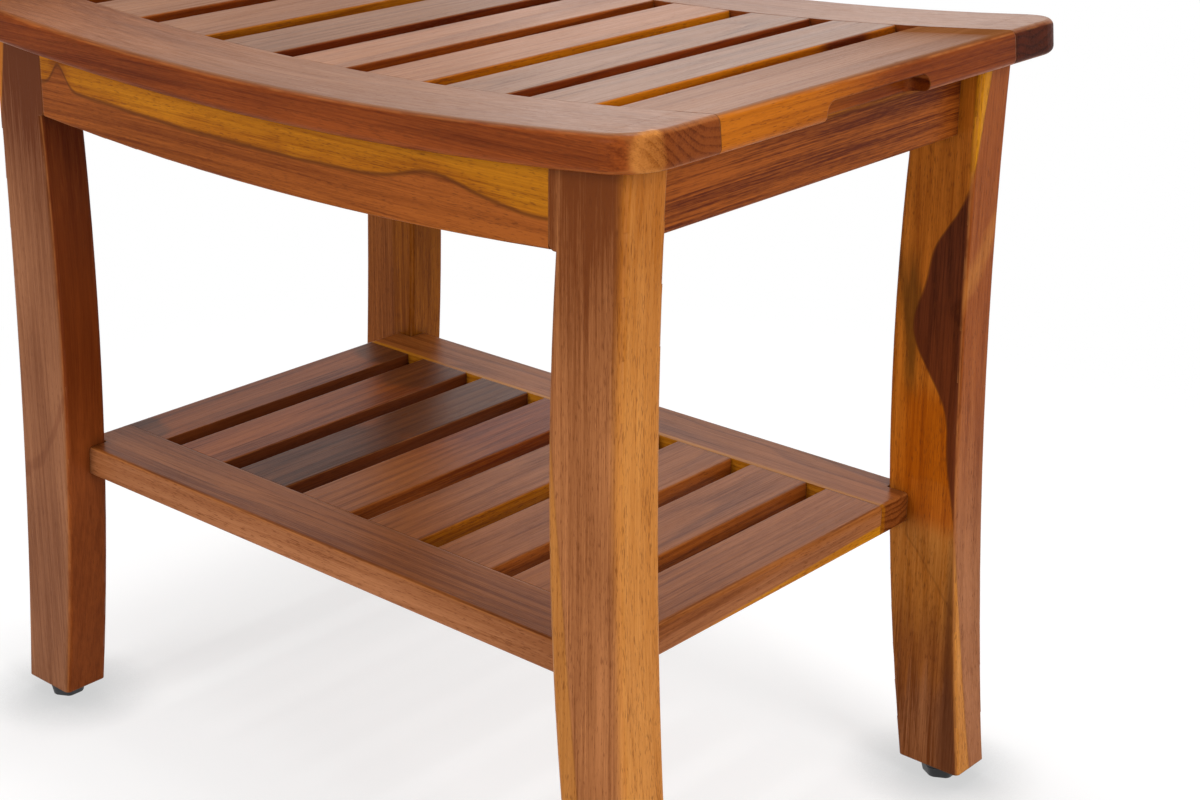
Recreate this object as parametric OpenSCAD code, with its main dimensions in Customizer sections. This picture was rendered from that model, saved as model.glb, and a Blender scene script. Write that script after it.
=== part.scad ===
// Teak shower bench: a dished slatted seat on four bowed legs, with a slatted
// storage shelf notched round the legs and four screw-in levelling feet.
// Millimetres. X runs along the bench, Y from front to back, Z up.
// The origin is on the floor, under the middle of the bench.
// Lengths on the seat are measured along its dish.

/* [Bench] */
// Height of the seat's two ends above the floor, before their edges are rounded
bench_height = 457; // [380:1:520]
// Overall length of the seat
seat_length = 528; // [480:1:700]
// Overall depth of the seat, front to back
seat_depth = 362; // [320:1:420]

/* [Seat] */
// How far the middle of the seat lies below its ends
seat_dip = 14.7; // [6:0.1:20]
// Thickness of the seat boards
seat_thickness = 18.5; // [16:0.5:26]
// Width of the two long seat rails
seat_rail_width = 56; // [48:1:64]
// Width of the end slats
seat_end_width = 59; // [50:1:66]
// Number of slats between the end slats
seat_slats = 7; // [5:1:9]
// Gap between two seat slats
seat_slot = 14.4; // [8:0.2:18]
// Radius of the seat's corners, seen from above
seat_corner_r = 24; // [14:1:34]
// Radius of the seat's outer top and bottom edges
seat_edge_r = 4; // [2:0.5:6]

/* [Finger grips] */
// Length of the finger grip in each end of the seat
grip_length = 88; // [70:1:110]
// How deep the grip reaches in from the end of the seat
grip_depth = 13; // [9:0.5:15]
// Height of the grip above the underside of the seat
grip_height = 9.8; // [8:0.2:11]
// Radius of the grip's inner corners, seen from below
grip_plan_r = 6; // [3:0.5:8]
// Radius of the grip's upper corners, seen from the end
grip_face_r = 7; // [3:0.5:7.5]

/* [Legs] */
// How far the legs' front faces stand back from the seat's front edge
leg_setback = 19; // [14:0.5:26]
// Thickness of a leg, front to back
leg_thickness = 30; // [26:0.5:34]
// How far the outer face's waist stands in from the seat's end
leg_inset = 25.6; // [18:0.2:34]
// Height of the waist of the outer face
leg_outer_waist_z = 321; // [290:1:350]
// Radius of the outer face's sweep
leg_outer_r = 2920; // [2400:10:4000]
// Width of a leg between the waists of its two faces
leg_waist = 45; // [40:0.5:50]
// Height of the waist of the inner face
leg_inner_waist_z = 276; // [250:1:300]
// Radius of the inner face's sweep
leg_inner_r = 1720; // [1500:10:2600]
// Width of the straight leg head at the apron joint
leg_head = 44.5; // [39:0.5:49]
// Radius of the shoulder under the leg head
leg_shoulder_r = 4; // [2:0.5:6]
// Radius of the legs' long edges
leg_edge_r = 3; // [1:0.5:4]

/* [Aprons] */
// Height of the curved front and rear aprons
apron_height = 43; // [36:0.5:52]
// Thickness of all four aprons
apron_thickness = 18; // [15:0.5:20]
// Drop of the side aprons' straight lower edge below the seat's ends
side_apron_drop = 64; // [56:0.5:72]
// How far the side aprons stand in from the outer waist of the legs
side_apron_inset = 11; // [6:0.5:14]
// Radius of the aprons' lower edges
apron_edge_r = 2; // [0.5:0.5:3]

/* [Shelf] */
// Height of the shelf's top face above the floor
shelf_height = 178.7; // [140:1:230]
// Thickness of the shelf boards
shelf_thickness = 18.5; // [16:0.5:24]
// How far the shelf reaches past the legs' inner waists, along the bench
shelf_lap_x = 17; // [12:0.5:22]
// How far the shelf reaches past the legs' inner faces, front and back
shelf_lap_y = 13; // [10:0.5:18]
// Width of the two long shelf rails
shelf_rail_width = 40; // [34:1:50]
// Width of the shelf's end slats
shelf_end_width = 38.5; // [34:0.5:46]
// Number of shelf slats between the end slats
shelf_slats = 6; // [4:1:8]
// Gap between two shelf slats
shelf_slot = 13.6; // [8:0.2:16]
// Radius of the shelf's outer edges
shelf_edge_r = 2.5; // [1:0.5:4]

/* [Joinery] */
// Radius of the slats' long edges
slat_edge_r = 1.2; // [0.4:0.2:2]
// Length of the slats' tenons
slat_tenon = 14; // [8:1:20]
// Thickness of the slats' tenons
slat_tenon_t = 7; // [5:0.5:8]
// Width of the shoulder on each side of a tenon
tenon_shoulder = 6; // [4:0.5:8]
// Length of the front and rear aprons' tenons
apron_tenon = 19; // [10:1:22]
// Length of the side aprons' tenons, which stop beside the other aprons' tenons
side_tenon = 14; // [8:1:15]
// Thickness of the aprons' tenons
apron_tenon_t = 8; // [6:0.5:9]
// Glue gap on each face of a tenon and round each dowel
glue_gap = 0.15; // [0.05:0.05:0.3]
// Gap between the shelf's notches and the legs
notch_gap = 0.2; // [0.1:0.05:0.4]
// Diameter of the dowels that hold the shelf to the legs
dowel_d = 6; // [5:0.5:7]
// How far a dowel reaches into each piece
dowel_reach = 15; // [10:1:18]

/* [Cleats and screws] */
// Height of the cleats that hold the seat to the long aprons, at their middle
cleat_height = 16; // [14:0.5:20]
// Thickness of the cleats, front to back
cleat_thickness = 15; // [12:0.5:16]
// Gap between a cleat's end and the leg beside it
cleat_end_gap = 10; // [4:1:20]
// Diameter of a screw's shank
screw_d = 4; // [3:0.5:4.5]
// Diameter of a screw's countersunk head
screw_head_d = 8; // [6:0.5:8.5]
// Length of a screw
screw_length = 27; // [24:1:28]
// Gap between a screw and its hole
screw_gap = 0.1; // [0.05:0.05:0.2]

/* [Levelling feet] */
// Height of a foot pad, which sets the gap under the legs
pad_height = 9.5; // [8:0.5:14]
// Gap between a pad and the leg when the foot is screwed home
pad_gap = 0.8; // [0.3:0.1:2]
// Width of the pad's top, corner to corner
pad_top_d = 26; // [20:0.5:28]
// Slope of the pad's six sides, in degrees from upright
pad_slope = 12; // [4:1:18]
// Diameter of the foot's stem
stem_d = 6; // [5:0.5:8]
// How far the stem reaches into the leg
stem_length = 22; // [18:1:26]
// Outer diameter of the insert that the stem screws into
insert_d = 9.5; // [9:0.5:12]
// Length of the insert
insert_length = 12; // [10:1:16]
// Running gap between the stem and the insert, on the radius
stem_gap = 0.05; // [0.02:0.01:0.1]
// Room round and beyond the stem in the hole above the insert
stem_room = 0.5; // [0.3:0.1:1]

/* [Hidden] */
// Facets of the long sweeps, of ordinary arcs and of small rounds
sweep_fn = 1440;
arc_fn = 96;
round_fn = 40;
eps = 0.01;
// How far a screw hole's countersink runs on past the face that it starts in
hole_lead = 1;
// Step between two surfaces that run into each other along nearly the same line
seam_step = 0.03;
// How far the curved stretch of a seat rail runs over the flat end
seam_depth = 0.5;

teak_warm = [0.58, 0.31, 0.15];
teak_gold = [0.70, 0.43, 0.17];
teak_red = [0.50, 0.25, 0.13];
teak_dark = [0.42, 0.22, 0.12];
steel_grey = [0.70, 0.71, 0.72];
brass_yellow = [0.76, 0.62, 0.33];
pad_black = [0.10, 0.10, 0.11];

// The dish: its axis runs along Y, above the seat
seat_mid_z = bench_height - seat_dip;
dish_r = pow(seat_length / 2, 2) / (2 * seat_dip) + seat_dip / 2;
dish_under_r = dish_r + seat_thickness;
dish_axis_z = seat_mid_z + dish_r;
seat_half_angle = asin(seat_length / 2 / dish_under_r);
// Angle on the dish that an arc of this length along the seat takes
function dish_angle(arc) = arc / dish_r * 180 / PI;
// Height of the seat's underside at a distance from the middle
function under_z(x) = dish_axis_z - sqrt(pow(dish_under_r, 2) - x * x);

// The seat's plan, with arcs measured from the middle
seat_half_arc = seat_half_angle * PI / 180 * dish_r;
corner_arc = seat_half_arc - seat_corner_r;
rail_inner_y = seat_depth / 2 - seat_rail_width;
seat_span = 2 * (seat_half_arc - seat_end_width);
seat_slat_w = (seat_span - (seat_slats + 1) * seat_slot) / seat_slats;
seat_pitch = seat_slat_w + seat_slot;

// The legs: faces of the right-hand legs, seen from the front
leg_front_y = seat_depth / 2 - leg_setback;
leg_back_y = leg_front_y - leg_thickness;
outer_waist_x = seat_length / 2 - leg_inset;
inner_waist_x = outer_waist_x - leg_waist;
head_x = outer_waist_x - leg_head;
leg_bottom_z = pad_height + pad_gap;
// How far a bowed face has swept out at a height above or below its waist
function sweep_out(r, dz) = r - sqrt(pow(r, 2) - pow(dz, 2));
function outer_x(z) = outer_waist_x + sweep_out(leg_outer_r, z - leg_outer_waist_z);
function inner_x(z) = inner_waist_x + sweep_out(leg_inner_r, z - leg_inner_waist_z);
leg_bottom_x = (outer_x(leg_bottom_z) + inner_x(leg_bottom_z)) / 2;
leg_bottom_y = leg_front_y - leg_thickness / 2;
shoulder_z = under_z(head_x) - apron_height;

// The aprons
apron_front_y = leg_front_y;
apron_back_y = apron_front_y - apron_thickness;
apron_tenon_y = apron_front_y - apron_thickness / 2;
apron_tenon_h = apron_height - 2 * tenon_shoulder;
apron_tenon_z = shoulder_z + apron_height / 2;
side_outer_x = outer_waist_x - side_apron_inset;
side_inner_x = side_outer_x - apron_thickness;
side_tenon_x = side_outer_x - apron_thickness / 2;
side_bottom_z = bench_height - side_apron_drop;
side_top_z = under_z(side_inner_x);
side_tenon_h = side_top_z - side_bottom_z - 2 * tenon_shoulder;
side_tenon_z = (side_top_z + side_bottom_z) / 2;

// The shelf
shelf_half_x = inner_waist_x + shelf_lap_x;
shelf_half_y = leg_back_y + shelf_lap_y;
shelf_rail_y = shelf_half_y - shelf_rail_width;
shelf_span = 2 * (shelf_half_x - shelf_end_width);
shelf_slat_w = (shelf_span - (shelf_slats + 1) * shelf_slot) / shelf_slats;
shelf_pitch = shelf_slat_w + shelf_slot;
shelf_mid_z = shelf_height - shelf_thickness / 2;
dowel_x = inner_x(shelf_mid_z) + notch_gap / 2;
dowel_y = leg_back_y + shelf_lap_y / 2;

// The cleats behind the long aprons
cleat_front_y = apron_back_y;
cleat_back_y = cleat_front_y - cleat_thickness;
cleat_half_x = head_x - cleat_end_gap;
cleat_bottom_z = under_z(0) - cleat_height;
screw_head_h = (screw_head_d - screw_d) / 2;

// The feet
stem_socket = pad_height / 2;
stem_top_z = leg_bottom_z + stem_length;

SIDES = ["left", "right"];

// ---- Placing ----

// Draws a right-hand piece as it is, or mirrored to the left
module on_side(side) {
    mirror([side == "left" ? 1 : 0, 0, 0]) children();
}

// Draws a front piece as it is, or mirrored to the back
module on_face(face) {
    mirror([0, face == "rear" ? 1 : 0, 0]) children();
}

// Draws its children once at each of the four legs
module at_each_leg() {
    for (side = SIDES, face = ["front", "rear"]) on_side(side) on_face(face) children();
}

// A frame on the seat's top face, turned by an angle along the dish
module at_dish(angle) {
    translate([0, 0, dish_axis_z]) rotate([0, -angle, 0]) translate([0, 0, -dish_r]) children();
}

// Sweeps a section along the dish; the section's x is the radius, its y the distance to the front
module dish_sweep(half_angle) {
    translate([0, 0, dish_axis_z])
        rotate([90, 0, 0])
            rotate([0, 0, 270 - half_angle])
                rotate_extrude(angle = 2 * half_angle, $fn = sweep_fn) children();
}

// ---- Outlines ----

// A rectangle from the origin with its two far-side (high x) corners rounded
module far_rounded(w, h, r) {
    square([w - r, h]);
    translate([0, r]) square([w, h - 2 * r]);
    for (y = [r, h - r]) translate([w - r, y]) circle(r, $fn = round_fn);
}

// A rectangle from the origin with its two lower corners rounded
module bottom_rounded(w, h, r) {
    translate([0, r]) square([w, h - r]);
    translate([r, 0]) square([w - 2 * r, h]);
    for (x = [r, w - r]) translate([x, r]) circle(r, $fn = round_fn);
}

// A centred rectangle with all four corners rounded
module all_rounded(w, h, r) {
    square([w - 2 * r, h], center = true);
    square([w, h - 2 * r], center = true);
    for (x = [-1, 1], y = [-1, 1]) translate([x * (w / 2 - r), y * (h / 2 - r)]) circle(r, $fn = round_fn);
}

// ---- Joinery ----

// A tenon that points to +Y or a mortise for it, grown by gap on every face
module tenon(w, t, length, gap = 0) {
    translate([-w / 2 - gap, 0, -t / 2 - gap]) cube([w + 2 * gap, length + gap, t + 2 * gap]);
}

// A flat slat under the origin plane, its length along Y, with a tenon at each end
module slat(w, length, thickness) {
    translate([0, 0, -thickness / 2]) {
        rotate([90, 0, 0])
            linear_extrude(length, center = true) all_rounded(w, thickness, slat_edge_r);
        slat_tenons(w, length);
    }
}

// Both tenons of a slat, or the mortises for them
module slat_tenons(w, length, gap = 0) {
    for (turn = [0, 180])
        rotate([0, 0, turn]) translate([0, length / 2, 0])
            tenon(w - 2 * tenon_shoulder, slat_tenon_t, slat_tenon, gap);
}

// A countersunk screw that points to +Z, with its head's face at the origin, or the hole for it
module screw(gap = 0) {
    lead = gap > 0 ? hole_lead : 0;
    rim = screw_head_d / 2 + gap + lead;
    shank = screw_d / 2 + gap;
    tip = screw_length + gap;
    rotate_extrude($fn = round_fn)
        polygon([[0, -lead], [rim, -lead], [shank, screw_head_h], [shank, tip], [0, tip]]);
}

// ---- Seat ----

// Where slat number i sits on the dish
function seat_slat_angle(i) = dish_angle((i - (seat_slats + 1) / 2) * seat_pitch);
// Distance from the middle to slat number i, at the seat's underside
function under_x(i) = dish_under_r * sin(seat_slat_angle(i));

// Section of the seat's outer edge, from the corner's centre outwards
module seat_edge_section() {
    translate([0, seam_step - seat_thickness])
        far_rounded(seat_corner_r - seam_step, seat_thickness - 2 * seam_step, seat_edge_r);
}

// The flat last stretch of a seat rail: a quarter disc and a straight stretch behind it
module seat_rail_end() {
    corner_y = seat_corner_r - seat_depth / 2;
    end_y = -rail_inner_y - seam_step;
    translate([0, corner_y, 0]) rotate([0, 0, -90])
        rotate_extrude(angle = 90, $fn = arc_fn) seat_edge_section();
    translate([0, end_y, 0]) rotate([90, 0, 0]) linear_extrude(end_y - corner_y) seat_edge_section();
}

// Section of a seat rail: x is the radius on the dish, y the distance to the front
module seat_rail_section() {
    translate([dish_under_r, rail_inner_y]) rotate([0, 0, 90])
        far_rounded(seat_rail_width, seat_thickness, seat_edge_r);
}

module seat_rail_blank() {
    dish_sweep(dish_angle(corner_arc + seam_depth)) seat_rail_section();
    for (side = SIDES) on_side(side) at_dish(dish_angle(corner_arc)) seat_rail_end();
}

// Frame of an end slat, on the flat last stretch of the seat
module at_end_slat() {
    at_dish(dish_angle(corner_arc)) translate([seat_corner_r - seat_end_width / 2, 0, -seat_thickness / 2])
        children();
}

// Mortises in the long rails for every slat
module seat_mortises() {
    for (i = [1 : seat_slats])
        at_dish(seat_slat_angle(i)) translate([0, 0, -seat_thickness / 2])
            slat_tenons(seat_slat_w, 2 * rail_inner_y, glue_gap);
    for (side = SIDES) on_side(side) at_end_slat() end_slat_tenons(glue_gap);
}

// The end slats' tenons stand clear of the seat's rounded corners
module end_slat_tenons(gap = 0) {
    translate([-tenon_shoulder, 0, 0])
        slat_tenons(seat_end_width - 2 * tenon_shoulder, 2 * rail_inner_y, gap);
}

module seat_rail(face) {
    color(teak_red)
        difference() {
            on_face(face) seat_rail_blank();
            seat_mortises();
            cleat_seat_screw_row(face, screw_gap);
        }
}

// The cut that makes a finger grip, in the end slat's frame
module finger_grip() {
    cut = 2 * grip_depth;
    intersection() {
        translate([seat_end_width / 2, 0, -seat_thickness / 2 - cut])
            linear_extrude(cut + grip_height) all_rounded(cut, grip_length, grip_plan_r);
        translate([seat_end_width / 2 + cut, 0, -seat_thickness / 2 + grip_height - cut / 2])
            rotate([90, 0, -90]) linear_extrude(2 * cut) all_rounded(grip_length, cut, grip_face_r);
    }
}

module seat_end_slat(side) {
    color(teak_gold)
        on_side(side) at_end_slat()
            difference() {
                union() {
                    translate([-seat_end_width / 2, rail_inner_y, -seat_thickness / 2])
                        rotate([90, 0, 0]) linear_extrude(2 * rail_inner_y)
                            far_rounded(seat_end_width, seat_thickness, seat_edge_r);
                    end_slat_tenons();
                }
                finger_grip();
            }
}

module seat_slat(i) {
    color(teak_warm) at_dish(seat_slat_angle(i)) slat(seat_slat_w, 2 * rail_inner_y, seat_thickness);
}

// ---- Legs ----

// A long bar behind one bowed leg face: the sweep's section has two rounded edges on that face
module swept_face(waist_x, waist_z, r, outward, extra = 0) {
    reach = 4 * leg_waist;
    arc = 2 * asin(bench_height / r);
    translate([waist_x + r, extra - leg_back_y, waist_z]) rotate([90, 0, 0])
        rotate([0, 0, 180 - arc / 2]) rotate_extrude(angle = arc, $fn = sweep_fn)
            translate([r, 0]) mirror([outward ? 0 : 1, 0]) translate([reach, 0]) mirror([1, 0])
                far_rounded(reach, leg_thickness + 2 * extra, leg_edge_r + extra);
}

// The bowed leg and its straight head, before any joint is cut
module leg_blank() {
    difference() {
        intersection() {
            swept_face(outer_waist_x, leg_outer_waist_z, leg_outer_r, true);
            union() {
                difference() {
                    swept_face(inner_waist_x, leg_inner_waist_z, leg_inner_r, false, seam_step);
                    front_slab(0, head_x, shoulder_z);
                }
                front_slab(head_x, leg_head / 2, shoulder_z + leg_shoulder_r);
                front_slab(head_x + leg_shoulder_r, leg_head / 2 - leg_shoulder_r, shoulder_z);
                translate([head_x + leg_shoulder_r, 0, shoulder_z + leg_shoulder_r]) rotate([90, 0, 0])
                    cylinder(h = seat_depth / 2, r = leg_shoulder_r, $fn = round_fn);
            }
            front_slab(0, seat_length, leg_bottom_z);
        }
        above_seat_underside();
    }
}

// A slab across the front half of the bench, from x along the bench and from z up
module front_slab(x, width, z) {
    translate([x, -seat_depth / 2, z]) cube([width, seat_depth / 2, bench_height]);
}

// Everything above the seat's underside
module above_seat_underside() {
    translate([0, seat_depth / 2, dish_axis_z]) rotate([90, 0, 0])
        cylinder(h = seat_depth, r = dish_under_r, $fn = sweep_fn);
}

// Everything above the flat underside of the right end slat
module above_end_slat_underside() {
    at_dish(dish_angle(corner_arc)) translate([-seat_end_width, -seat_depth / 2, -seat_thickness])
        cube([2 * seat_end_width, seat_depth, bench_height]);
}

module leg(side, face) {
    color(teak_warm)
        on_side(side) on_face(face)
            difference() {
                leg_blank();
                apron_tenon_bar(glue_gap);
                side_tenon_bar(glue_gap);
                shelf_dowel(glue_gap);
                insert_hole();
            }
}

// ---- Aprons ----

// The front apron's tenon at the right-hand leg, or its mortise
module apron_tenon_bar(gap = 0) {
    translate([head_x, -apron_tenon_y, apron_tenon_z]) rotate([0, 0, -90])
        rotate([0, 90, 0]) tenon(apron_tenon_h, apron_tenon_t, apron_tenon, gap);
}

// The right side apron's tenon at the front leg, or its mortise
module side_tenon_bar(gap = 0) {
    translate([side_tenon_x, -leg_back_y, side_tenon_z]) rotate([0, 0, 180])
        rotate([0, 90, 0]) tenon(side_tenon_h, apron_tenon_t, side_tenon, gap);
}

// Section of a long apron: x is the radius on the dish, y the distance to the front
module apron_section() {
    translate([dish_under_r, apron_back_y]) far_rounded(apron_height, apron_thickness, apron_edge_r);
}

module long_apron(face) {
    color(teak_gold)
        difference() {
            on_face(face) union() {
                intersection() {
                    dish_sweep(seat_half_angle) apron_section();
                    translate([-head_x, -seat_depth / 2, 0]) cube([2 * head_x, seat_depth, bench_height]);
                }
                for (side = SIDES) on_side(side) apron_tenon_bar();
            }
            cleat_apron_screw_row(face, screw_gap);
        }
}

module side_apron(side) {
    color(teak_dark)
        on_side(side) {
            difference() {
                translate([side_inner_x, leg_back_y, side_bottom_z]) rotate([90, 0, 0])
                    linear_extrude(2 * leg_back_y)
                        bottom_rounded(apron_thickness, bench_height - side_bottom_z, apron_edge_r);
                above_end_slat_underside();
            }
            for (face = ["front", "rear"]) on_face(face) side_tenon_bar();
        }
}

// ---- Shelf ----

// The front shelf rail as a plain board with its outer edges rounded
module shelf_rail_board() {
    intersection() {
        translate([-shelf_half_x, -shelf_rail_y, shelf_height]) rotate([0, 90, 0]) rotate([0, 0, -90])
            linear_extrude(2 * shelf_half_x) far_rounded(shelf_rail_width, shelf_thickness, shelf_edge_r);
        translate([0, 0, shelf_mid_z]) rotate([90, 0, 0])
            linear_extrude(seat_depth, center = true)
                all_rounded(2 * shelf_half_x, shelf_thickness, shelf_edge_r);
    }
}

// Where shelf slat number i lies
function shelf_slat_x(i) = (i - (shelf_slats + 1) / 2) * shelf_pitch;

module shelf_mortises() {
    translate([0, 0, shelf_mid_z]) {
        for (i = [1 : shelf_slats])
            translate([shelf_slat_x(i), 0, 0]) slat_tenons(shelf_slat_w, 2 * shelf_rail_y, glue_gap);
        for (side = SIDES) on_side(side) shelf_end_tenons(glue_gap);
    }
}

// The end slats' tenons stand clear of the notches round the legs
module shelf_end_tenons(gap = 0) {
    w = shelf_end_width - shelf_lap_x;
    translate([shelf_half_x - shelf_lap_x - w / 2 - tenon_shoulder / 2, 0, 0])
        slat_tenons(w + tenon_shoulder, 2 * shelf_rail_y, gap);
}

// The space the right front leg takes at shelf height, grown by the notch gap
module shelf_notch() {
    gap = notch_gap;
    translate([0, -leg_front_y - gap, shelf_mid_z - shelf_thickness])
        intersection() {
            cube([seat_length, leg_thickness + 2 * gap, 2 * shelf_thickness]);
            translate([inner_waist_x + leg_inner_r, 0, leg_inner_waist_z - shelf_mid_z + shelf_thickness])
                rotate([-90, 0, 0])
                    cylinder(h = leg_thickness + 2 * gap, r = leg_inner_r + gap, $fn = sweep_fn);
        }
}

module shelf_rail(face) {
    color(teak_warm)
        on_face(face)
            difference() {
                shelf_rail_board();
                shelf_mortises();
                for (side = SIDES) on_side(side) {
                    shelf_notch();
                    shelf_dowel(glue_gap);
                }
            }
}

module shelf_end_slat(side) {
    color(teak_gold)
        on_side(side) {
            translate([shelf_half_x - shelf_end_width, shelf_rail_y, shelf_height - shelf_thickness])
                rotate([90, 0, 0]) linear_extrude(2 * shelf_rail_y)
                    far_rounded(shelf_end_width, shelf_thickness, shelf_edge_r);
            translate([0, 0, shelf_mid_z]) shelf_end_tenons();
        }
}

module shelf_slat(i) {
    color(teak_warm)
        translate([shelf_slat_x(i), 0, shelf_height]) slat(shelf_slat_w, 2 * shelf_rail_y, shelf_thickness);
}

// The dowel between the right front leg and the shelf rail, or its hole
module shelf_dowel(gap = 0) {
    translate([dowel_x, -dowel_y, shelf_mid_z]) rotate([0, 90, 0])
        cylinder(h = 2 * (dowel_reach + gap), d = dowel_d + 2 * gap, center = true, $fn = round_fn);
}

module shelf_dowels() {
    color(teak_gold) at_each_leg() shelf_dowel();
}

// ---- Cleats and screws ----

// Screws from the cleat into the long apron beside it, one at every other slat
module cleat_apron_screw_row(face, gap = 0) {
    on_face(face)
        for (i = [1 : 2 : seat_slats])
            translate([under_x(i), -cleat_back_y, cleat_bottom_z + cleat_height / 2])
                rotate([90, 0, 0]) screw(gap);
}

// Screws from under the cleat up into the seat rail, one between each pair of slats
module cleat_seat_screw_row(face, gap = 0) {
    on_face(face)
        for (i = [2 : seat_slats])
            translate([under_x(i - 1 / 2), -cleat_back_y - cleat_thickness / 2, cleat_bottom_z]) screw(gap);
}

// A straight batten with its top sawn to the curve of the seat
module seat_cleat(face) {
    color(teak_dark)
        difference() {
            on_face(face) translate([-cleat_half_x, -cleat_front_y, cleat_bottom_z])
                cube([2 * cleat_half_x, cleat_thickness, bench_height - cleat_bottom_z]);
            above_seat_underside();
            cleat_apron_screw_row(face, screw_gap);
            cleat_seat_screw_row(face, screw_gap);
        }
}

module cleat_apron_screws() {
    color(steel_grey) for (face = ["front", "rear"]) cleat_apron_screw_row(face);
}

module cleat_seat_screws() {
    color(steel_grey) for (face = ["front", "rear"]) cleat_seat_screw_row(face);
}

// ---- Levelling feet ----

// Frame at the middle of the right front leg's lower end
module at_foot() {
    translate([leg_bottom_x, -leg_bottom_y, 0]) children();
}

// The hole in the leg for the insert and the stem above it
module insert_hole() {
    at_foot() {
        translate([0, 0, leg_bottom_z - eps])
            cylinder(h = insert_length + eps, d = insert_d, $fn = arc_fn);
        translate([0, 0, leg_bottom_z])
            cylinder(h = stem_length + stem_room, d = stem_d + 2 * stem_room, $fn = arc_fn);
    }
}

module foot_inserts() {
    color(brass_yellow)
        at_each_leg() at_foot() translate([0, 0, leg_bottom_z])
            difference() {
                cylinder(h = insert_length, d = insert_d, $fn = arc_fn);
                translate([0, 0, -eps])
                    cylinder(h = insert_length + 2 * eps, d = stem_d + 2 * stem_gap, $fn = arc_fn);
            }
}

// A six-sided pad that narrows towards the floor, with a socket for the stem
module foot_pad(face, side) {
    top = pad_top_d / 2 * cos(30);
    bottom = top - pad_height * tan(pad_slope);
    color(pad_black)
        on_side(side) on_face(face) at_foot()
            difference() {
                intersection_for(turn = [0, 60, 120])
                    rotate([0, 0, turn]) rotate([90, 0, 0])
                        linear_extrude(pad_top_d, center = true)
                            polygon([[-bottom, 0], [bottom, 0], [top, pad_height], [-top, pad_height]]);
                translate([0, 0, pad_height - stem_socket])
                    cylinder(h = pad_height, d = stem_d, $fn = arc_fn);
            }
}

module foot_stem(face, side) {
    color(steel_grey)
        on_side(side) on_face(face) at_foot() translate([0, 0, pad_height - stem_socket])
            cylinder(h = stem_top_z - pad_height + stem_socket, d = stem_d, $fn = arc_fn);
}

// ---- The bench ----

seat_rail("front");  // seat_front_rail
seat_rail("rear");  // seat_rear_rail
seat_end_slat("left");  // seat_end_slat_left
seat_end_slat("right");  // seat_end_slat_right
for (i = [1 : seat_slats])
    seat_slat(i);
long_apron("front");  // front_apron
long_apron("rear");  // rear_apron
side_apron("left");  // side_apron_left
side_apron("right");  // side_apron_right
leg("left", "front");  // leg_front_left
leg("right", "front");  // leg_front_right
leg("left", "rear");  // leg_rear_left
leg("right", "rear");  // leg_rear_right
shelf_rail("front");  // shelf_front_rail
shelf_rail("rear");  // shelf_rear_rail
shelf_end_slat("left");  // shelf_end_slat_left
shelf_end_slat("right");  // shelf_end_slat_right
for (i = [1 : shelf_slats])
    shelf_slat(i);
seat_cleat("front");  // seat_cleat_front
seat_cleat("rear");  // seat_cleat_rear
cleat_apron_screws();
cleat_seat_screws();
shelf_dowels();
foot_inserts();
foot_pad("front", "left");  // foot_pad_front_left
foot_pad("front", "right");  // foot_pad_front_right
foot_pad("rear", "left");  // foot_pad_rear_left
foot_pad("rear", "right");  // foot_pad_rear_right
foot_stem("front", "left");  // foot_stem_front_left
foot_stem("front", "right");  // foot_stem_front_right
foot_stem("rear", "left");  // foot_stem_rear_left
foot_stem("rear", "right");  // foot_stem_rear_right
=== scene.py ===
"""Looks of the teak shower bench: oiled teak boards, black levelling feet and their hardware."""
import math

import bmesh
import bpy
from mathutils import Matrix, Vector


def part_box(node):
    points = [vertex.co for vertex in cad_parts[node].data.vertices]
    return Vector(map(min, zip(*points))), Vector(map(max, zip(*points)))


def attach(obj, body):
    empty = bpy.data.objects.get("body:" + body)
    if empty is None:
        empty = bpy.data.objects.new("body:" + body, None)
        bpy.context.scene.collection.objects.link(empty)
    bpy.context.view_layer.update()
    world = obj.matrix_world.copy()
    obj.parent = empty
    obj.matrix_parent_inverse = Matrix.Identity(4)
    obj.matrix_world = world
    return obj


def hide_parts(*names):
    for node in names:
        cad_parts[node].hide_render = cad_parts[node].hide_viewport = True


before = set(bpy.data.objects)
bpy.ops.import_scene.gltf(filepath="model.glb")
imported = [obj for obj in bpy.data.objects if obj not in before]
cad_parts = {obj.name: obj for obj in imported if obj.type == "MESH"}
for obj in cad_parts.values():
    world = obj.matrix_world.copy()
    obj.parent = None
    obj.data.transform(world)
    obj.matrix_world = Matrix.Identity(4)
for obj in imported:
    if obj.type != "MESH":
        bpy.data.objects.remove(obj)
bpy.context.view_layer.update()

MM = 0.001

# ---- Camera: the photograph's viewing angle ----

CAMERA_AT = Vector((0.84025, -0.88567, 0.68584))
CAMERA_YAW = 43.39
CAMERA_PITCH = -19.07
CAMERA_ROLL = -0.358
CAMERA_LENS = 66.23
CAMERA_SENSOR = 36
CAMERA_SHIFT = (0.09256, -0.05938)
CAMERA_REACH = (0.05, 50)


def place_object(name, data):
    """A new object in the scene."""
    made = bpy.data.objects.new(name, data)
    bpy.context.scene.collection.objects.link(made)
    return made


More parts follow.
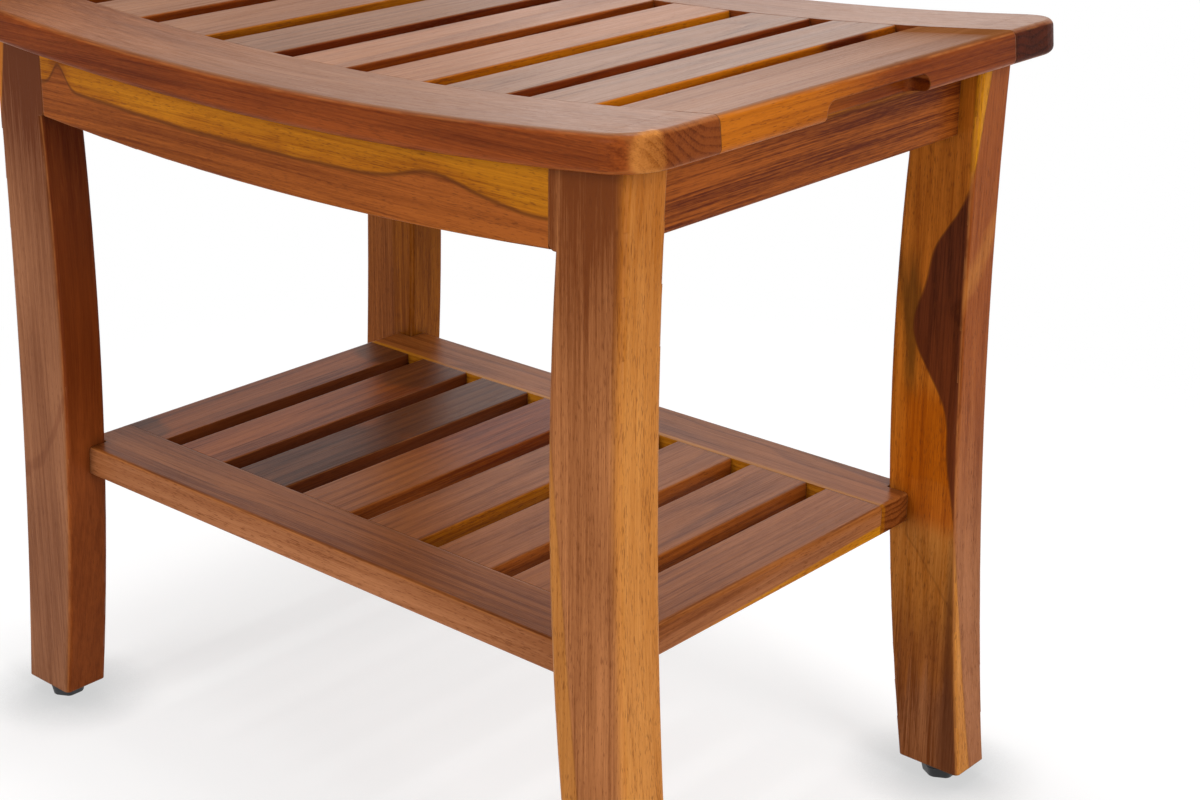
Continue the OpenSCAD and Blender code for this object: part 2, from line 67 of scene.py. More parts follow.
def make_camera():
    yaw, pitch, roll = (math.radians(a) for a in (CAMERA_YAW, CAMERA_PITCH, CAMERA_ROLL))
    ahead = Vector((-math.sin(yaw) * math.cos(pitch), math.cos(yaw) * math.cos(pitch), math.sin(pitch)))
    level = Vector((math.cos(yaw), math.sin(yaw), 0))
    above = level.cross(ahead)
    right = math.cos(roll) * level + math.sin(roll) * above
    up = math.cos(roll) * above - math.sin(roll) * level
    data = bpy.data.cameras.new("camera")
    data.sensor_width = CAMERA_SENSOR
    data.lens = CAMERA_LENS
    data.shift_x, data.shift_y = CAMERA_SHIFT
    data.clip_start, data.clip_end = CAMERA_REACH
    camera = place_object("camera", data)
    turn = Matrix((right, up, -ahead)).transposed().to_4x4()
    camera.matrix_world = Matrix.Translation(CAMERA_AT) @ turn
    bpy.context.scene.camera = camera


# ---- Node helpers ----

WHITE = (1.0, 1.0, 1.0, 1.0)
BLACK = (0.0, 0.0, 0.0, 1.0)
BUMP_STRENGTH = 0.3


def rgb(red, green, blue):
    return (red, green, blue, 1.0)


def grey(level):
    return rgb(level, level, level)


class Wiring:
    """Adds shader nodes to one tree and wires them."""

    def __init__(self, tree):
        self.tree = tree

    def node(self, kind, **settings):
        made = self.tree.nodes.new(kind)
        for name, value in settings.items():
            setattr(made, name, value)
        return made

    def put(self, socket, value):
        """Wires a socket to another one, or sets it to a plain value."""
        if isinstance(value, bpy.types.NodeSocket):
            self.tree.links.new(value, socket)
        else:
            socket.default_value = value

    def feed(self, made, *values, **named):
        """Puts values into a node's sockets, in order or by name."""
        for socket, value in zip(made.inputs, values):
            self.put(socket, value)
        for name, value in named.items():
            self.put(made.inputs[name], value)
        return made

    def math(self, kind, *values, clamp=False):
        return self.feed(self.node("ShaderNodeMath", operation=kind, use_clamp=clamp), *values).outputs[0]

    def vector(self, kind, *values):
        made = self.feed(self.node("ShaderNodeVectorMath", operation=kind), *values)
        return made.outputs["Value" if kind in ("DOT_PRODUCT", "LENGTH") else "Vector"]

    def in_mm(self, place):
        made = self.node("ShaderNodeVectorMath", operation="SCALE")
        return self.feed(made, place, Scale=1 / MM).outputs["Vector"]

    def split(self, value):
        return self.feed(self.node("ShaderNodeSeparateXYZ"), value).outputs

    def join(self, x, y, z):
        return self.feed(self.node("ShaderNodeCombineXYZ"), x, y, z).outputs[0]

    def noise(self, place, stretch, detail=2.0, rough=0.5, colour=False):
        """Noise whose features are about as long as stretch, in millimetres along each axis."""
        scaled = self.vector("DIVIDE", place, stretch)
        made = self.node("ShaderNodeTexNoise")
        self.feed(made, Vector=scaled, Scale=1.0, Detail=detail, Roughness=rough)
        return made.outputs["Color" if colour else "Fac"]

    def rise(self, value, low, high):
        """0 below low, 1 above high, smooth between."""
        made = self.node("ShaderNodeMapRange", interpolation_type="SMOOTHSTEP")
        for name, number in (("Value", value), ("From Min", low), ("From Max", high)):
            self.put(made.inputs[name], number)
        return made.outputs[0]

    def mix(self, share, first, second, kind="MIX"):
        """Two colours, mixed by a share of the second."""
        made = self.node("ShaderNodeMix", data_type="RGBA", blend_type=kind)
        for name, value in (("Factor_Float", share), ("A_Color", first), ("B_Color", second)):
            socket = next(s for s in made.inputs if s.identifier == name)
            self.put(socket, value)
        return next(s for s in made.outputs if s.identifier == "Result_Color")

    def blend(self, share, first, second):
        """Two shaders, mixed by a share of the second."""
        return self.feed(self.node("ShaderNodeMixShader"), share, first, second).outputs[0]

    def shader(self, kind, **inputs):
        """A shader's output, its sockets set by name."""
        return self.feed(self.node(kind), **inputs).outputs[0]

    def swing(self, value, amount):
        """A value of 0 to 1 turned into one of minus to plus half the amount."""
        return self.math("MULTIPLY", self.math("SUBTRACT", value, 0.5), amount)

    def flip(self, value):
        """1 less a value."""
        return self.math("SUBTRACT", 1.0, value)

    def openness(self, reach, samples):
        """1 in the open, less where something lies within a reach in millimetres."""
        made = self.node("ShaderNodeAmbientOcclusion", samples=samples)
        return self.feed(made, Distance=reach * MM).outputs["AO"]

    def edges(self, radius):
        """The normal rounded over the edges, and how far it turns there from the flat face."""
        made = self.feed(self.node("ShaderNodeBevel", samples=4), Radius=radius * MM)
        rounded = made.outputs[0]
        flat = self.node("ShaderNodeNewGeometry").outputs["Normal"]
        return rounded, self.flip(self.vector("DOT_PRODUCT", rounded, flat))

    def bump(self, surface, height, depth, normal=None):
        """Gives a surface relief of a depth in millimetres."""
        made = self.node("ShaderNodeBump")
        self.feed(made, Strength=BUMP_STRENGTH, Distance=depth * MM, Height=height)
        if normal:
            self.put(made.inputs["Normal"], normal)
        self.put(surface.inputs["Normal"], made.outputs[0])


def fresh_tree(owner):
    """The emptied node tree of a material or a world."""
    owner.use_nodes = True
    owner.node_tree.nodes.clear()
    return Wiring(owner.node_tree)


def new_material(name):
    material = bpy.data.materials.new(name)
    w = fresh_tree(material)
    surface = w.node("ShaderNodeBsdfPrincipled")
    w.feed(w.node("ShaderNodeOutputMaterial"), surface.outputs[0])
    return material, w, surface


# ---- Teak: the grain ----

# Lengths of the wood's features in millimetres: along the grain, across it and through the board
WANDER_LENGTH = (240, 40, 40)
FIBRE_LENGTH = (70, 0.9, 0.9)
BAND_LENGTH = (420, 7, 7)
CLOUD_LENGTH = (120, 34, 34)
FLECK_LENGTH = (8, 0.8, 0.8)
PORE_LENGTH = (5.5, 0.6, 0.6)
PORE_GROUP_LENGTH = (60, 9, 9)
RING_UNEVENNESS_LENGTH = (19, 19, 19)

# The growth rings: how far their pith wanders, how unevenly they are spaced, and where in a
# ring's width its dark late wood starts and ends
PITH_WANDER = (0, 15, 15)
RING_UNEVENNESS = 2.2
LATE_WOOD_STARTS = (0.88, 1.0)
LATE_WOOD_ENDS = (0.0, 0.5)

# How much each feature counts in the tone; the rings show more where a face turns to end grain
FIBRE_TONE = 1.7
BAND_TONE = 1.35
CLOUD_TONE = 1.0
FLECK_TONE = 1.0
RING_MEAN = 0.3
END_FIGURE = 0.4
END_TURN = (0.55, 0.95)

# The pores: how high their noise must rise, and how much the rings and the groups raise it
PORE_START = (0.57, 0.70)
RING_PORES = 0.04
GROUP_PORES = 0.22

# What each feature adds to the roughness and the relief
OIL_ROUGHNESS = 0.34
FIBRE_ROUGHNESS = 0.35
PORE_ROUGHNESS = 0.2
END_ROUGHNESS = 0.12
FIBRE_HEIGHT = 0.8
PORE_DEPTH = 0.8
RING_DEPTH = 0.15

GRAIN_INPUTS = {
    "Board": "NodeSocketVector",
    "Facing": "NodeSocketFloat",
    "Pith": "NodeSocketVector",
    "Tilt": "NodeSocketVector",
    "Ring": "NodeSocketFloat",
    "Figure": "NodeSocketFloat",
    "Fleck": "NodeSocketFloat",
    "Streak": "NodeSocketFloat",
    "Fade": "NodeSocketFloat",
    "Pores": "NodeSocketFloat",
}
GRAIN_OUTPUTS = ("Tone", "Pores", "End", "Roughness", "Height")


def growth_rings(w, given):
    """Dark late wood in cylinders round a tilted, wandering pith."""
    board = given["Board"]
    wander = w.noise(board, WANDER_LENGTH, 2.0, 0.5, colour=True)
    wander = w.vector("MULTIPLY", w.vector("SUBTRACT", wander, (0.5, 0.5, 0.5)), PITH_WANDER)
    bent = w.vector("SUBTRACT", w.vector("ADD", board, wander), given["Pith"])
    along = w.split(bent)[0]
    off = w.vector("SUBTRACT", bent, w.vector("MULTIPLY", given["Tilt"], w.join(along, along, along)))
    distance = w.vector("LENGTH", w.vector("MULTIPLY", off, (0, 1, 1)))
    uneven = w.noise(w.join(distance, 0, 0), RING_UNEVENNESS_LENGTH, 1.0)
    count = w.math("DIVIDE", distance, given["Ring"])
    count = w.math("ADD", count, w.math("MULTIPLY", uneven, RING_UNEVENNESS))
    part = w.math("FRACT", count)
    return w.math("MAXIMUM", w.flip(w.rise(part, *LATE_WOOD_ENDS)), w.rise(part, *LATE_WOOD_STARTS))


def grain_tone(w, given, ring, fine, end):
    """The tone from light, 0, to deep, 1: streaks, clouds, flecks and the lines of the rings."""
    board = given["Board"]
    band = w.noise(board, BAND_LENGTH, 3.0, 0.55)
    cloud = w.noise(board, CLOUD_LENGTH, 2.0)
    fleck = w.noise(board, FLECK_LENGTH, 3.0, 0.6)
    streaks = w.math("ADD", w.swing(fine, FIBRE_TONE), w.swing(band, BAND_TONE))
    tone = w.math("ADD", 0.5, w.math("MULTIPLY", streaks, given["Streak"]))
    tone = w.math("ADD", tone, w.swing(cloud, CLOUD_TONE))
    tone = w.math("ADD", tone, w.math("MULTIPLY", w.swing(fleck, FLECK_TONE), given["Fleck"]))
    tone = w.math("ADD", tone, given["Fade"])
    figure = w.math("ADD", given["Figure"], w.math("MULTIPLY", end, END_FIGURE))
    lines = w.math("MULTIPLY", w.math("SUBTRACT", ring, RING_MEAN), figure)
    return w.math("ADD", tone, lines, clamp=True)


def grain_pores(w, given, ring):
    """Short dark dashes, closer together in some parts of the board."""
    dashes = w.noise(given["Board"], PORE_LENGTH, 1.5, 0.6)
    group = w.noise(given["Board"], PORE_GROUP_LENGTH, 1.0)
    dashes = w.math("ADD", dashes, w.math("MULTIPLY", ring, RING_PORES))
    dashes = w.math("ADD", dashes, w.swing(group, GROUP_PORES))
    return w.math("MULTIPLY", w.rise(dashes, *PORE_START), given["Pores"])


def make_grain():
    """Teak in a board's own frame: x along the grain, y across it, z through it, in millimetres."""
    tree = bpy.data.node_groups.new("teak_grain", "ShaderNodeTree")
    for name, kind in GRAIN_INPUTS.items():
        tree.interface.new_socket(name, in_out="INPUT", socket_type=kind)
    for name in GRAIN_OUTPUTS:
        tree.interface.new_socket(name, in_out="OUTPUT", socket_type="NodeSocketFloat")
    w = Wiring(tree)
    given = w.node("NodeGroupInput").outputs

    ring = growth_rings(w, given)
    fine = w.noise(given["Board"], FIBRE_LENGTH, 4.0, 0.6)
    end = w.rise(given["Facing"], *END_TURN)
    pores = grain_pores(w, given, ring)

    rough = w.math("ADD", OIL_ROUGHNESS, w.swing(fine, FIBRE_ROUGHNESS))
    rough = w.math("ADD", rough, w.math("MULTIPLY", pores, PORE_ROUGHNESS))
    rough = w.math("ADD", rough, w.math("MULTIPLY", end, END_ROUGHNESS))
    height = w.math("SUBTRACT", w.swing(fine, FIBRE_HEIGHT), w.math("MULTIPLY", pores, PORE_DEPTH))
    height = w.math("SUBTRACT", height, w.math("MULTIPLY", ring, RING_DEPTH))
    tone = grain_tone(w, given, ring, fine, end)
    w.feed(w.node("NodeGroupOutput"), Tone=tone, Pores=pores, End=end, Roughness=rough, Height=height)
    return tree


# ---- Teak: one board ----

PORE_COLOUR = rgb(0.130, 0.030, 0.006)
PORE_SHARE = 0.8
LINE_COLOUR = rgb(0.085, 0.020, 0.004)

# A thin satin oil finish: little gloss on the sides, more on the rubbed tops, whose pores are filled
OILED_IOR = 1.26
SIDE_GLOSS = 0.14
RUBBED_TURN = (0.5, 0.95)
RUBBED_FILL = 0.6

# Painted shade darkens the inner corners, within a reach in millimetres
PAINTED_SHADE_REACH = 9
PAINTED_SHADE_DEPTH = 0.55

# End grain drinks more oil: darker, redder and duller
END_TINT = rgb(0.62, 0.50, 0.40)
END_SOAK = 0.85

# The eased arrises are a shade lighter, in patches: worn by handling where the eased corner turns,
# and a painted highlight where a modelled round is turned away from the board's faces; both only
# where the patches lie
WORN_AND_HIGHLIGHT_COLOUR = rgb(0.52, 0.185, 0.045)
ARRIS_RADIUS = 1.4
ARRIS_TURN = (0.01, 0.2)
ROUND_HIGHLIGHT_TURN = (0.13, 0.27)
EDGE_PATCH_LENGTH = (22, 22, 22)
EDGE_PATCH_START = (0.28, 0.62)

GRAIN_DEPTH = 0.22

# A board, where nothing else is said. The cut moves it along the tree, in which the pith runs at
# this place across and through it, tilted by these slopes; ring is the rings' width. The deepening
# term darkens the tone (on the front legs as painted shade, on the seat's front rail as a painted
# weaker sheen); polish is the gloss of a rubbed top; each is a term of field(). The others are shares.
PLAIN_BOARD = dict(
    cut=(0, 0, 0), pith=(24, 60), tilt=(0.03, 0.02), ring=4.5, figure=0.22, fleck=0.7, streak=1.0,
    pores=0.7, pale_edge=0.4, dull=0.0, deepen={}, polish=dict(at=0.40), patches=(),
)

# A patch, where nothing else is said: another tone inside the region of its terms, on the faces
# turned one way. Soft, wave and wave_length shape its edge, in millimetres, and line darkens it.
PLAIN_PATCH = dict(share=1.0, soft=0.8, wave=4.0, wave_length=(60, 30, 60), turn=(0.4, 0.9))

GRAIN_AXIS = {"x": (1, 0, 0), "y": (0, 1, 0), "z": (0, 0, 1)}
BOARD_FRAME = {
    "x": Matrix(((1, 0, 0), (0, 1, 0), (0, 0, 1))),
    "y": Matrix(((0, 1, 0), (-1, 0, 0), (0, 0, 1))),
    "z": Matrix(((0, 0, 1), (0, 1, 0), (-1, 0, 0))),
}


def field(w, place, terms):
    """The least of some terms at each point: a region's depth in millimetres, or a value that varies.

    A term is a plane (at, x, y, z), bent by bows (axis, centre, radius) and by bulges
    (axis, centre, width, height).
    """
    axes = dict(zip("xyz", place))
    least = None
    for term in terms:
        value = w.math("ADD", term.get("at", 0.0), 0.0)
        for axis, position in axes.items():
            if axis in term:
                value = w.math("ADD", value, w.math("MULTIPLY", position, term[axis]))
        for axis, centre, radius in term.get("bow", ()):
            away = w.math("SUBTRACT", axes[axis], centre)
            value = w.math("ADD", value, w.math("DIVIDE", w.math("MULTIPLY", away, away), 2 * radius))
        for axis, centre, width, height in term.get("bulge", ()):
            away = w.math("DIVIDE", w.math("SUBTRACT", axes[axis], centre), width)
            bell = w.math("EXPONENT", w.math("MULTIPLY", w.math("MULTIPLY", away, away), -1.0))
            value = w.math("ADD", value, w.math("MULTIPLY", bell, height))
        least = value if least is None else w.math("MINIMUM", least, value)
    return least


def region(w, place, place_mm, normal, patch):
    """The share of a patch at each point, 0 to 1, with a wandering edge."""
    patch = PLAIN_PATCH | patch
    share = patch["share"]
    if "terms" in patch:
        inside = field(w, place, patch["terms"])
        wander = w.noise(place_mm, patch["wave_length"], 2.0, 0.5)
        inside = w.math("ADD", inside, w.swing(wander, patch["wave"]))
        share = w.math("MULTIPLY", w.rise(inside, -patch["soft"], patch["soft"]), share)
    if "faces" in patch:
        turned = w.vector("DOT_PRODUCT", normal, patch["faces"])
        share = w.math("MULTIPLY", w.rise(turned, *patch["turn"]), share)
    return share


def board_place(w, name, board, coordinates):
    """Millimetres in the board's own frame, x along its grain, moved to its own cut of the tree."""
    low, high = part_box(name)
    middle = (low + high) / 2 / MM
    turn = BOARD_FRAME[board["grain"]]
    mapping = w.feed(w.node("ShaderNodeMapping"), Vector=coordinates["Object"])
    mapping.inputs["Scale"].default_value = (1 / MM, 1 / MM, 1 / MM)
    mapping.inputs["Rotation"].default_value = turn.to_euler()
    mapping.inputs["Location"].default_value = Vector(board["cut"]) - turn @ middle
    return mapping.outputs[0]


def grow(w, name, grain, board, coordinates, place, rubbed):
    """What the grain gives at each point of one board."""
    facing = w.vector("DOT_PRODUCT", coordinates["Normal"], GRAIN_AXIS[board["grain"]])
    group = w.feed(
        w.node("ShaderNodeGroup", node_tree=grain),
        Board=board_place(w, name, board, coordinates),
        Facing=w.math("ABSOLUTE", facing),
        Pith=(0.0, *board["pith"]),
        Tilt=(0.0, *board["tilt"]),
        Ring=board["ring"],
        Figure=board["figure"],
        Fleck=board["fleck"],
        Streak=board["streak"],
        Fade=field(w, place, [board["deepen"]]),
        Pores=w.math("MULTIPLY", w.flip(w.math("MULTIPLY", rubbed, RUBBED_FILL)), board["pores"]),
    )
    return group.outputs


def board_colour(w, board, grown, place, place_mm, normal):
    """The main colour, then each patch over it (sapwood, heartwood and stain, and painted sheen,
    highlights and light), and the pores.
    """
    colour = w.mix(grown["Tone"], *TONES[board["tone"]])
    for patch in board["patches"]:
        share = region(w, place, place_mm, normal, patch)
        colour = w.mix(share, colour, w.mix(grown["Tone"], *TONES[patch["tone"]]))
        if "line" in patch:
            edge = w.math("MULTIPLY", share, w.flip(share))
            colour = w.mix(w.math("MULTIPLY", edge, 4 * patch["line"], clamp=True), colour, LINE_COLOUR)
    return w.mix(w.math("MULTIPLY", grown["Pores"], PORE_SHARE), colour, PORE_COLOUR)


def corner_shade_and_end_soak(w, colour, grown):
    """A board's colour with painted shade in its inner corners, and darker end grain."""
    # Painted shade: darker where other surfaces lie close by
    corner_shade = w.math("MULTIPLY", w.openness(PAINTED_SHADE_REACH, 4), PAINTED_SHADE_DEPTH)
    corner_shade = w.math("ADD", 1 - PAINTED_SHADE_DEPTH, corner_shade)
    colour = w.mix(1.0, colour, w.join(corner_shade, corner_shade, corner_shade), kind="MULTIPLY")
    soaked = w.mix(1.0, colour, END_TINT, kind="MULTIPLY")
    return w.mix(w.math("MULTIPLY", grown["End"], END_SOAK), colour, soaked)


def worn_and_highlit_arrises(w, board, sharp, normal, place_mm):
    """The share of lighter wood along the board's edges: wear at the eased corners, a painted highlight
    on the modelled rounds.
    """
    square = w.split(w.vector("ABSOLUTE", normal))
    most = w.math("MAXIMUM", square[2], w.math("MAXIMUM", square[0], square[1]))
    arris = w.math("MAXIMUM", w.rise(sharp, *ARRIS_TURN), w.rise(w.flip(most), *ROUND_HIGHLIGHT_TURN))
    patchy = w.rise(w.noise(place_mm, EDGE_PATCH_LENGTH, 3.0, 0.6), *EDGE_PATCH_START)
    return w.math("MULTIPLY", w.math("MULTIPLY", arris, patchy), board["pale_edge"])


def teak(name, grain, board):
    """The material of one board."""
    board = PLAIN_BOARD | board
    material, w, surface = new_material("teak_" + name)
    coordinates = w.node("ShaderNodeTexCoord").outputs
    normal = coordinates["Normal"]
    place_mm = w.in_mm(coordinates["Object"])
    place = w.split(place_mm)
    rubbed = w.rise(w.split(normal)[2], *RUBBED_TURN)
    grown = grow(w, name, grain, board, coordinates, place, rubbed)

    rounded, sharp = w.edges(ARRIS_RADIUS)
    colour = board_colour(w, board, grown, place, place_mm, normal)
    colour = corner_shade_and_end_soak(w, colour, grown)
    # Lighter arrises: wear at the eased corners, a painted highlight on the modelled rounds
    colour = w.mix(worn_and_highlit_arrises(w, board, sharp, normal, place_mm), colour, WORN_AND_HIGHLIGHT_COLOUR)
    polish = w.math("SUBTRACT", field(w, place, [board["polish"]]), SIDE_GLOSS)
    gloss = w.math("ADD", SIDE_GLOSS, w.math("MULTIPLY", rubbed, polish))

    w.put(surface.inputs["Base Color"], colour)
    w.put(surface.inputs["Roughness"], w.math("ADD", grown["Roughness"], board["dull"]))
    w.put(surface.inputs["IOR"], OILED_IOR)
    w.put(surface.inputs["Specular IOR Level"], gloss)
    w.bump(surface, grown["Height"], GRAIN_DEPTH, rounded)
    return material


# ---- Teak: the bench's boards ----

# The light and the deep colour of each kind of wood on the bench; rosy, ash and peach are the seat's
# tops, partly painted sheen
TONES = {
    "russet": (rgb(0.29, 0.062, 0.010), rgb(0.11, 0.018, 0.003)),
    "rust": (rgb(0.36, 0.090, 0.011), rgb(0.10, 0.016, 0.003)),
    "rosy": (rgb(0.30, 0.118, 0.043), rgb(0.20, 0.070, 0.022)),
    "ash": (rgb(0.28, 0.120, 0.052), rgb(0.16, 0.062, 0.024)),
    "peach": (rgb(0.36, 0.135, 0.045), rgb(0.22, 0.074, 0.020)),
    "honey": (rgb(0.53, 0.145, 0.006), rgb(0.28, 0.062, 0.002)),
    "garnet": (rgb(0.19, 0.030, 0.004), rgb(0.08, 0.010, 0.002)),
    "night": (rgb(0.090, 0.014, 0.002), rgb(0.035, 0.006, 0.001)),
    "golden": (rgb(0.50, 0.160, 0.006), rgb(0.22, 0.054, 0.002)),
    "brown": (rgb(0.38, 0.100, 0.015), rgb(0.15, 0.030, 0.004)),
    "leg": (rgb(0.50, 0.190, 0.064), rgb(0.17, 0.042, 0.008)),
    "amber": (rgb(0.68, 0.275, 0.058), rgb(0.45, 0.140, 0.015)),
    "walnut": (rgb(0.36, 0.145, 0.064), rgb(0.12, 0.028, 0.006)),
    "copper": (rgb(0.30, 0.062, 0.006), rgb(0.12, 0.018, 0.002)),
    "olive": (rgb(0.62, 0.190, 0.018), rgb(0.34, 0.085, 0.005)),
    "heart": (rgb(0.18, 0.040, 0.010), rgb(0.07, 0.014, 0.004)),
    "stain": (rgb(0.19, 0.062, 0.006), rgb(0.08, 0.028, 0.003)),
    "ember": (rgb(0.50, 0.115, 0.002), rgb(0.28, 0.050, 0.001)),
    "blush": (rgb(0.36, 0.095, 0.018), rgb(0.19, 0.034, 0.004)),
    "yellow": (rgb(0.60, 0.235, 0.008), rgb(0.42, 0.130, 0.003)),
    "chestnut": (rgb(0.40, 0.125, 0.026), rgb(0.18, 0.045, 0.007)),
    "fawn": (rgb(0.47, 0.185, 0.075), rgb(0.30, 0.102, 0.034)),
    "dusk": (rgb(0.150, 0.050, 0.016), rgb(0.050, 0.014, 0.004)),
    "flame": (rgb(0.52, 0.150, 0.004), rgb(0.28, 0.055, 0.001)),
    "joint": (rgb(0.070, 0.018, 0.005), rgb(0.040, 0.010, 0.003)),
    "dark": (rgb(0.19, 0.045, 0.010), rgb(0.09, 0.020, 0.005)),
    "pale": (rgb(0.56, 0.205, 0.030), rgb(0.34, 0.090, 0.012)),
}

# Shapes that the figure follows, in millimetres: the legs' bowed edges and the long aprons' curve
LEG_OUTER_BOW = [("z", 321, -2920)]
LEG_INNER_BOW = [("z", 276, -1720)]
APRON_BOW = [("x", 0, -2397)]
LEG_INNER_X = 193.2

# How far from the middle the slats meet the rails, in millimetres
SEAT_SHOULDER = 124.7
SHELF_SHOULDER = 104.7

# Height below which the shelf slats' sawn edges are painted paler: painted light from below
SHELF_LIT_EDGE = 166.0

UP = (0, 0, 1)
RIGHT = (1, 0, 0)
FRONT = (0, -1, 0)

# The seat's tops, paler where a board's face turns fully upward: partly rubbed wood, partly painted sheen
TOP_TURN = (0.72, 0.97)
ROSY_SHEEN_TOP = dict(tone="rosy", faces=UP, turn=TOP_TURN)
ASHEN_SHEEN_TOP = dict(tone="ash", faces=UP, turn=TOP_TURN)
PEACHY_SHEEN_TOP = dict(tone="peach", faces=UP, turn=TOP_TURN)
# Towards the left the rails' tops are painted browner: a weaker painted sheen there
WARMER_LEFT = dict(
    tone="brown", faces=UP, turn=TOP_TURN, soft=150, share=0.5, terms=[dict(at=-110, x=-1.0)],
)

# The seat is polished most towards its right-hand end
SEAT_POLISH = dict(at=0.31, x=0.0006)
RAIL_POLISH = dict(at=0.31, x=0.0013, bulge=[("x", 262, 40, -0.29)])
END_POLISH = dict(at=0.14, y=-0.0013)


def shoulders(reach):
    """The fine dark line where a slat meets the rails at both ends."""
    return [
        dict(tone="joint", terms=[dict(at=-reach, y=side)], soft=0.35, wave=0.3, share=0.8)
        for side in (1.0, -1.0)
    ]


def leg_joints():
    """The fine dark line where an apron meets the bowed inner edge of each leg."""
    return [
        dict(tone="joint", soft=0.35, wave=0.3, share=0.85,
             terms=[dict(at=-LEG_INNER_X, x=side, bow=LEG_INNER_BOW)])
        for side in (1.0, -1.0)
    ]


def seat_slat(side_tone, number, top=ROSY_SHEEN_TOP, before=(), **more):
    """A slat of the seat: paler on top, partly rubbed and partly painted sheen, its own colour in the
    slots.
    """
    plain = dict(
        grain="y", tone=side_tone, cut=(100 * number, 0, 0), polish=SEAT_POLISH,
        pith=(30 - 9 * number, 24 + 7 * (number % 3)),
        patches=[*before, top, *shoulders(SEAT_SHOULDER)],
    )
    return plain | more


def shelf_slat(tone, number, wall, after=(), **more):
    """A slat of the shelf, with its own colour in the slot on its right."""
    # The slot wall's lower part: painted light from below
    lit_lower_edge = dict(
        tone="flame", faces=RIGHT, terms=[dict(at=SHELF_LIT_EDGE, z=-1.0)], soft=1.2, wave=4, share=0.7,
    )
    patches = [dict(tone=wall, faces=RIGHT), lit_lower_edge, *after, *shoulders(SHELF_SHOULDER)]
    pith = (22 - 7 * number, 28 + 6 * (number % 3))
    return dict(grain="y", tone=tone, pith=pith, cut=(110 * number, 0, 0), patches=patches, **more)


def smoke(x, y, reach, share):
    """A smoky stain in the grain, round one place on the shelf."""
    return dict(
        tone="dusk", faces=UP, share=share, soft=0.3 * reach, wave=0.9 * reach, wave_length=(16, 70, 20),
        terms=[dict(at=reach, bow=[("x", x, -14), ("y", y, -0.5 * reach)])],
    )


def apron_sap(inset, **more):
    """The sapwood along the front apron's top, or the part this far inside the sapwood's lower edge."""
    edge = dict(
        at=-401.8 - inset, z=1.0, bow=APRON_BOW,
        bulge=[("x", -177, 8, -13), ("x", 118, 27, -7), ("x", 192, 34, 6)],
    )
    return dict(terms=[edge], **more)


SEAT_BOARDS = {
    "seat_front_rail": dict(
        # Its deepening term darkens it towards the left end: a painted weaker sheen there
        grain="x", tone="russet", pith=(30, 45), figure=0.15, deepen=dict(at=0.02, x=-0.0011), pale_edge=0.3,
        polish=RAIL_POLISH,
        patches=[
            ROSY_SHEEN_TOP,
            WARMER_LEFT,
            dict(tone="chestnut", terms=[dict(at=-254, x=1.0)], soft=4, wave=4, share=0.5),
            # A paler amber band round the corner: partly lighter wood, partly a painted highlight
            dict(tone="amber", soft=2.0, wave=4, wave_length=(30, 30, 12), share=0.7,
                 terms=[dict(at=-254.5, x=1.0), dict(at=-163.5, y=-1.0)]),
        ],
    ),
    "seat_rear_rail": dict(
        grain="x", tone="russet", pith=(-35, 50), cut=(400, 0, 0), figure=0.15, pale_edge=0.3,
        polish=RAIL_POLISH,
        patches=[ROSY_SHEEN_TOP, WARMER_LEFT, dict(tone="night", faces=RIGHT, share=0.9)],
    ),
    "seat_end_slat_right": dict(
        grain="y", tone="copper", pith=(-40, 30), deepen=dict(at=-0.02, y=0.002), pale_edge=0.5,
        polish=END_POLISH,
        patches=[
            dict(tone="honey", terms=[dict(at=-30, y=-1.0)], soft=55, wave=36, wave_length=(20, 60, 9)),
            ROSY_SHEEN_TOP,
            *shoulders(SEAT_SHOULDER),
        ],
    ),
    "seat_end_slat_left": dict(
        grain="y", tone="copper", pith=(40, 25), cut=(300, 0, 0), pale_edge=0.5, polish=END_POLISH,
        patches=[ROSY_SHEEN_TOP, *shoulders(SEAT_SHOULDER)],
    ),
    "seat_slat_1": seat_slat("copper", 1),
    "seat_slat_2": seat_slat("golden", 2),
    "seat_slat_3": seat_slat("garnet", 3, ASHEN_SHEEN_TOP),
    "seat_slat_4": seat_slat(
        "copper", 4, PEACHY_SHEEN_TOP, figure=0.55, ring=9, streak=0.7, polish=dict(at=0.41),
    ),
    "seat_slat_5": seat_slat("flame", 5, PEACHY_SHEEN_TOP, figure=0.3, ring=7),
    "seat_slat_6": seat_slat(
        "garnet", 6, ASHEN_SHEEN_TOP, pith=(4, 12), tilt=(0.0, 0.06), figure=0.4, ring=5,
    ),
    "seat_slat_7": seat_slat("flame", 7, ASHEN_SHEEN_TOP, figure=0.4, ring=8, before=[
        dict(tone="garnet", terms=[dict(at=-62, y=1.0), dict(at=100, y=-1.0)], soft=8, wave=30),
    ]),
}

